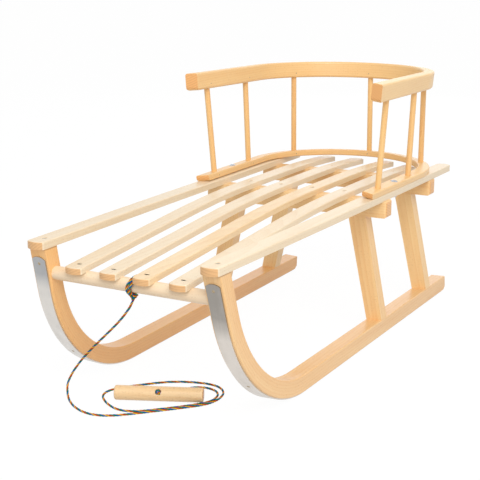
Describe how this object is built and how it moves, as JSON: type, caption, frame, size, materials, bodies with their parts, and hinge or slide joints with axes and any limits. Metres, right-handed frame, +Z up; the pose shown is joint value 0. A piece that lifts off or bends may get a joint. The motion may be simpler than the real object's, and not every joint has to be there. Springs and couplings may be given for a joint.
{
  "type": "wooden sled with backrest",
  "caption": "Slatted wooden sled on bentwood runners with steel strips, with a bolted bentwood backrest and a tow cord with a wooden handle.",
  "frame": {"origin": "on the floor, under the middle of the sled's box measured without the cord, its knot and its handle", "axes": "+X to the viewer's right when looking at the front, +Y from the turned-up front to the backrest, +Z up"},
  "size_m": [0.3849, 0.9499, 0.4631],
  "materials": {
    "beech_slat": "satin clear lacquer",
    "beech_frame": "satin clear lacquer",
    "strip_steel": "rolled, lightly brushed",
    "bolt_steel": "bright zinc",
    "cord": "twisted, several colours"
  },
  "bodies": {
    "root": {"runner_left": "beech_frame", "runner_strip_left": "strip_steel", "leg_front_left": "beech_frame", "leg_rear_left": "beech_frame", "slat_outer_left": "beech_slat", "backrest_bolt_left": "bolt_steel", "runner_right": "beech_frame", "runner_strip_right": "strip_steel", "leg_front_right": "beech_frame", "leg_rear_right": "beech_frame", "slat_outer_right": "beech_slat", "backrest_bolt_right": "bolt_steel", "crossbar_front": "beech_frame", "crossbar_rear": "beech_frame", "front_bar": "beech_slat", "slat_inner_1": "beech_slat", "slat_inner_2": "beech_slat", "slat_inner_3": "beech_slat", "slat_inner_4": "beech_slat", "back_rail_lower": "beech_frame", "back_rail_upper": "beech_frame", "spindle_1": "beech_frame", "spindle_2": "beech_frame", "spindle_3": "beech_frame", "spindle_4": "beech_frame", "spindle_5": "beech_frame", "spindle_6": "beech_frame", "spindle_7": "beech_frame", "tow_cord": "cord", "tow_handle": "beech_slat", "tow_knot": "cord"}
  },
  "joints": []
}
